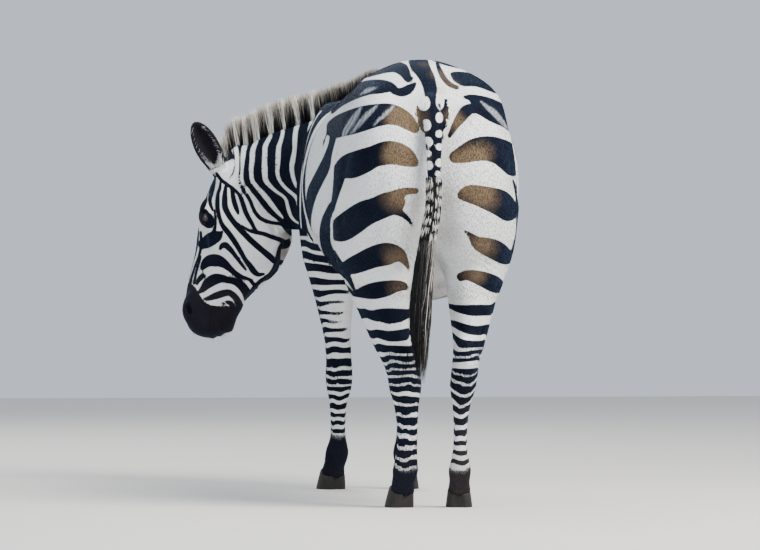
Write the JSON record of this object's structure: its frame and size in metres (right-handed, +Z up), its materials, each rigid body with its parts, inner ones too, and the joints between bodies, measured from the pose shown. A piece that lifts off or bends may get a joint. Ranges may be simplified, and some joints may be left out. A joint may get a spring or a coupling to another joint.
{
  "type": "zebra",
  "caption": "Life-size standing zebra, seen to look round to its left with its head hung low; striped coat, upright mane, tufted tail.",
  "frame": {"origin": "on the floor, under the middle of the animal's bounding box", "axes": "+Z up; the trunk lies along Y with the rump towards +Y, so the animal stands facing -Y; its left side is towards +X"},
  "size_m": [0.9646, 1.8466, 1.3081],
  "materials": {
    "coat": "short flat hair, black and cream-white stripes, soft sheen",
    "mane_hair": "stiff upright hair, striped like the neck, pale fuzzy tips",
    "tail_hair": "long black, grey and white hair",
    "eye": "wet gloss",
    "hoof_horn": "dull dark horn"
  },
  "bodies": {
    "root": {"trunk": "coat", "neck": "coat", "head": "coat", "ear_left": "coat", "ear_right": "coat", "leg_fore_left": "coat", "leg_fore_right": "coat", "leg_hind_left": "coat", "leg_hind_right": "coat", "tail_dock": "coat", "mane": "mane_hair", "tail_tuft": "tail_hair", "eye_left": "eye", "eye_right": "eye", "hoof_fore_left": "hoof_horn", "hoof_fore_right": "hoof_horn", "hoof_hind_left": "hoof_horn", "hoof_hind_right": "hoof_horn"}
  },
  "joints": []
}
